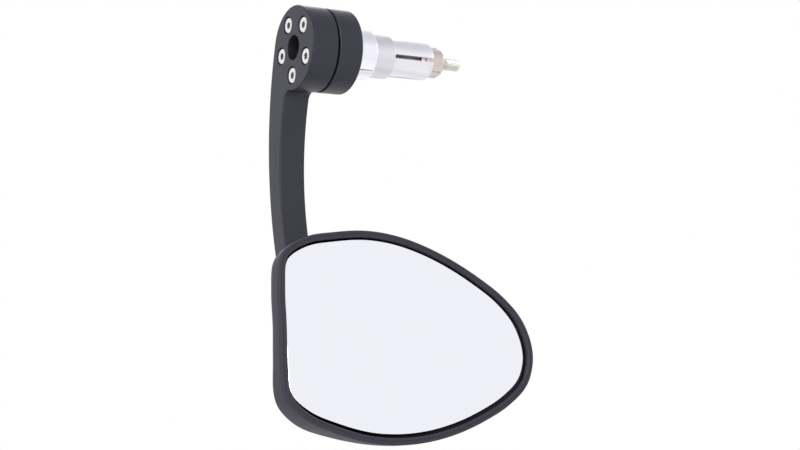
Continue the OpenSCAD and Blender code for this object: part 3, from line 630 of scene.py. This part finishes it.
# A shallow groove with a dark foot runs round the lip's face, between its inner and outer bands.
for aside, deep in ((0.3, 0), (0.15, 0.05), (0.05, 0.2), (-0.05, 0.2), (-0.15, 0.05), (-0.3, 0)):
    rings.append(level(inset(rim, GROOVE_IN + aside), LIP_Y + deep))
for d, y in bend(LIP_Y, 1, LIP_ROUND, n=8):
    rings.append(level(inset(rim, d), y))
rings.append(level(inset(rim, DRAFT / 2), (LIP_Y + LIP_ROUND + dome_y) / 2))
# The dome runs in to the socket's hole, whose edge is rounded and whose wall ends at the seat.
for s in np.linspace(0, 1, 40) ** 2.2:
    rings.append(level(to_hole(wall_out, HOLE_RIM, s), dome_y + (BACK_Y - dome_y) * rise(s)))
for r, y in ((11.5, BACK_Y - 0.03), (11.15, BACK_Y - 0.15), (HOLE_R, BACK_Y - 0.4),
             (HOLE_R, SEAT_Y)):
    rings.append(level(to_hole(rim, r, 1), y))
# Inside, the seat is flat round the hole, then follows the dome a shell's thickness below it.
for s in (1, 0.75, 0.5, 0.3, 0.15, 0.06, 0):
    q = to_hole(wall_in, SEAT_RIM, s)
    share = np.hypot(*(rim - q).T) / np.hypot(*(rim - to_hole(rim, HOLE_RIM, 1)).T)
    dome = dome_y + (BACK_Y - dome_y) * rise(np.minimum(1, share))
    rings.append(level(q, SEAT_Y if s == 1 else np.minimum(SEAT_Y, dome - SHELL)))
rings += [level(wall_in, LIP_Y + LIP_THICK + 0.6), level(inset(rim, LIP_W), LIP_Y + LIP_THICK)]
# Nylon from a finely textured mould: a deep grey-black with a soft sheen. Its texture, near
# 0.2 mm, is drawn at 0.35 mm so that it shows.
moulded = finish_of("satin_black_moulding", "#3A3842", 0.0, 0.45,
                    grain_mm=0.35, grain=0.1, mottle=0.03, shine=0.12)
piece("housing_shell", [sheet(np.array(rings), close_u=True, close_v=True)], moulded,
      "head", ["mirror_housing"], in_head, crease=38)


# ---- The glass: slightly convex, silvered and lacquered behind, with its edge ground. It is
# bonded to the hidden carrier and sits in a dark gap inside the lip.
GLASS_R, GLASS_THICK, GLASS_SINK, GLASS_GAP, GLASS_UP = 1600.0, 2.2, 1.2, 1.3, 0.5
GLASS_MID, GROUND = np.array([40.0, -30.0]), 0.3


def crown(p, radius):
    """How far a sphere of that radius falls back from its crown at the glass's middle."""
    return radius - np.sqrt(radius ** 2 - np.sum((p - GLASS_MID) ** 2, 1))


glass_y = LIP_Y + GLASS_SINK
edge = inset(rim, LIP_W + GLASS_GAP) + np.array([0, GLASS_UP])
rings = []
for s in np.linspace(0, 1, 16):
    p = GLASS_MID + (inset(edge, GROUND + 0.05) - GLASS_MID) * s
    rings.append(level(p, glass_y + crown(p, GLASS_R)))
for t in np.linspace(0.2, math.pi / 2, 5):
    p = inset(edge, GROUND * (1 - math.sin(t)))
    rings.append(level(p, glass_y + crown(p, GLASS_R) + GROUND * (1 - math.cos(t))))
for s in np.linspace(1, 0, 6):
    p = GLASS_MID + (edge - GLASS_MID) * s
    rings.append(level(p, glass_y + GLASS_THICK + crown(p, GLASS_R - GLASS_THICK)))
# Silvered float glass: a clean mirror with a faint lavender cast.
silvered = finish_of("silvered_mirror_glass", "#F6F6FC", 1.0, 0.03)
# The back is lacquered black and matt; on the ground edge the same black is painted shade, which
# darkens the gap inside the lip.
lacquer_and_painted_shade = finish_of("backing_lacquer_and_edge_painted_shade", "#101012", 0.0, 0.6)
glass = piece("glass_plate", [sheet(np.array(rings), close_v=True)], silvered,
              "head", ["mirror_glass"], in_head)
# The faces behind the glass's front turn black: the hidden back, and the ground edge as painted
# shade.
inlay(glass, lacquer_and_painted_shade, lambda c: c[:, 1] > glass_y + crown(c[:, [0, 2]], GLASS_R) + 0.04, in_head)


# ---- Hidden pieces, shown as the frame has them: the ball's seats, the socket's halves and screws,
# the glass's carrier and pad, and the flange with its friction washers.
def dress(names, material):
    """Gives frame nodes a finish in place of their plain one."""
    for name in names:
        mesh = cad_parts[name].data
        mesh.materials.clear()
        mesh.materials.append(material)


# Machined acetal: a pale, waxy cream.
dress(["rear_seat", "front_seat"], finish_of("natural_acetal", "#E2DCC8", 0.0, 0.4))
# Moulded nylon: black with a fine grain.
dress(["socket_body", "socket_cap"],
      finish_of("grained_black_nylon", "#222226", 0.0, 0.45, grain_mm=0.4, grain=0.15))
# Formed ABS plate: a plain, half-matt black.
dress(["glass_carrier"], finish_of("plain_black_plate", "#161618", 0.0, 0.5))
# Foam rubber: black and quite matt, with a finely pitted skin.
dress(["carrier_pad"],
      finish_of("closed_cell_foam", "#1E1E20", 0.0, 0.9, grain_mm=0.5, grain=0.4))
# Rolled brass: a soft yellow metal.
dress(["friction_washer_outer", "friction_washer_inner"],
      finish_of("plain_brass", "#B08D4A", 1.0, 0.35))
dress(["swivel_flange"], polished)
dress(["socket_screw_1", "socket_screw_2", "socket_screw_3"], bright)


# ---- The stage: a pale round floor below the mirror, a white surround, four soft lamps, and the
# camera of the photograph. The floor and the surround render white, and the lamps stay low.
FLOOR_Z, FLOOR_R = -0.26, 0.75
bpy.ops.mesh.primitive_circle_add(vertices=96, radius=FLOOR_R, fill_type="NGON",
                                  location=(0, 0, FLOOR_Z))
floor = bpy.context.object
floor.name = "floor"
floor.data.materials.append(finish_of("pale_floor", "#F4F4F4", 0.0, 0.7))

world = bpy.data.worlds.new("surround")
bpy.context.scene.world = world
world.use_nodes = True
sky = world.node_tree
sky.nodes.clear()
path = node(sky, "ShaderNodeLightPath")
seen = node(sky, "ShaderNodeMath", operation="MAXIMUM",
            links=[(path.outputs["Is Camera Ray"], 0), (path.outputs["Is Transmission Ray"], 1)])
white = node(sky, "ShaderNodeBackground", Color=(1, 1, 1, 1), Strength=1.0)
dim = node(sky, "ShaderNodeBackground", Color=(1, 1, 1, 1), Strength=0.6)
# What shiny faces see is a bright tent at eye level that darkens towards its roof and its floor.
way = node(sky, "ShaderNodeTexCoord").outputs["Generated"]
slope = node(sky, "ShaderNodeSeparateXYZ", [(way, "Vector")]).outputs["Z"]
steep = node(sky, "ShaderNodeMath", [(slope, 0)], operation="ABSOLUTE").outputs[0]
tent = node(sky, "ShaderNodeMapRange", [(steep, "Value")],
            From_Min=0.5, From_Max=1.0, To_Min=0.97, To_Max=0.62)
gloss = node(sky, "ShaderNodeBackground", [(tent.outputs["Result"], "Strength")],
             Color=(0.97, 0.97, 1, 1))
unseen = node(sky, "ShaderNodeMixShader", [(path.outputs["Is Glossy Ray"], 0),
                                           (dim.outputs[0], 1), (gloss.outputs[0], 2)])
mix = node(sky, "ShaderNodeMixShader", [(seen.outputs[0], 0), (unseen.outputs[0], 1),
                                        (white.outputs[0], 2)])
node(sky, "ShaderNodeOutputWorld", [(mix.outputs[0], "Surface")])

AIM = Vector((0.0, 0.0, -0.08))


def lamp(name, at, size, power):
    """A square soft lamp of a size in metres and a power in watts, turned to face the mirror."""
    light = bpy.data.lights.new(name, "AREA")
    light.shape, light.size, light.energy = "SQUARE", size, power
    made = bpy.data.objects.new(name, light)
    made.location = at
    made.rotation_euler = (AIM - Vector(at)).to_track_quat("-Z", "Y").to_euler()
    bpy.context.scene.collection.objects.link(made)


lamp("key_lamp", (-0.9, -0.45, 0.72), 0.5, 8.0)
lamp("front_lamp", (-0.35, -1.1, 0.15), 0.35, 3.0)
lamp("side_lamp", (1.1, -0.1, 0.35), 0.5, 1.2)
lamp("back_lamp", (0.2, 0.9, 0.6), 0.6, 4.0)

# The camera was fitted to the hub, the arm and the insert: turned to the mirror's left and a
# little below its level.
CAMERA_AT, LENS_MM, SENSOR_MM = (-0.3450, -0.5802, -0.1255), 63.0, 36.0
CAMERA_TURN, CAMERA_RISE = math.radians(-31.36), math.radians(-3.72)
lens = bpy.data.cameras.new("photo_camera")
lens.lens, lens.sensor_width = LENS_MM, SENSOR_MM
camera = bpy.data.objects.new("photo_camera", lens)
away = Vector((math.sin(CAMERA_TURN) * math.cos(CAMERA_RISE),
               -math.cos(CAMERA_TURN) * math.cos(CAMERA_RISE), math.sin(CAMERA_RISE)))
camera.location = CAMERA_AT
camera.rotation_mode = "QUATERNION"
camera.rotation_quaternion = away.to_track_quat("Z", "Y")
bpy.context.scene.collection.objects.link(camera)
bpy.context.scene.camera = camera
bpy.context.scene.view_settings.view_transform = "Standard"
